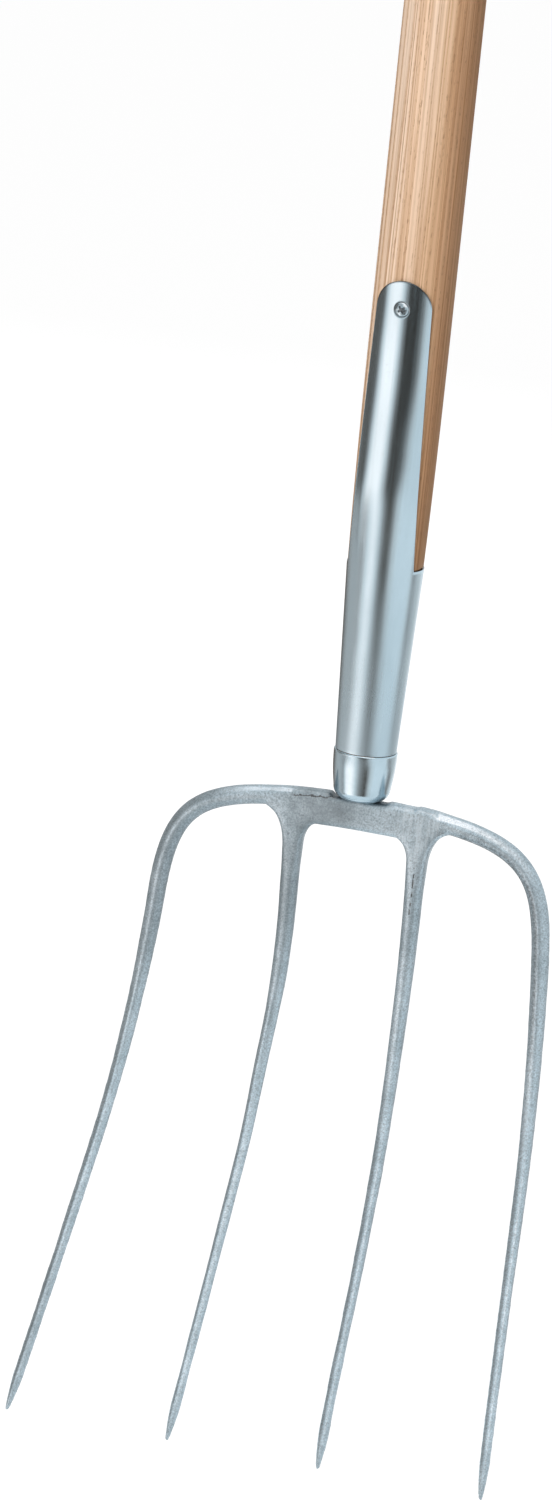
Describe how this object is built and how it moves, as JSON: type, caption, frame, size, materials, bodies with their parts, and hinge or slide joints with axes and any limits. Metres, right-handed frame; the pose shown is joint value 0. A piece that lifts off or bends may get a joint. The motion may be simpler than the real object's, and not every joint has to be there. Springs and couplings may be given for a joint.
{
  "type": "manure fork",
  "caption": "Long-handled manure fork: a forged galvanised head with slender curved tines, joined to a straight ash shaft by a tang, an end cap and a strapped sheet socket.",
  "frame": {"origin": "the grip: a point on the axis of the shaft, 380 mm above the lower end of the socket and near the point of balance", "axes": "+Z along the shaft, away from the tines; -Y the side of the strap, towards which the tines curve; +X to the right when the strap faces the viewer"},
  "size_m": [0.2298, 0.1091, 1.6518],
  "materials": {
    "wood": "satin, straight-grained ash",
    "socket_steel": "smooth plated sheet, satin",
    "screw_steel": "plated, satin",
    "cap_steel": "polished plated sheet",
    "head_steel": "forged and galvanised, dull and mottled"
  },
  "bodies": {
    "root": {"handle": "wood", "strapped_socket": "socket_steel", "strap_screw": "screw_steel", "end_cap": "cap_steel", "fork_head": "head_steel"}
  },
  "joints": []
}
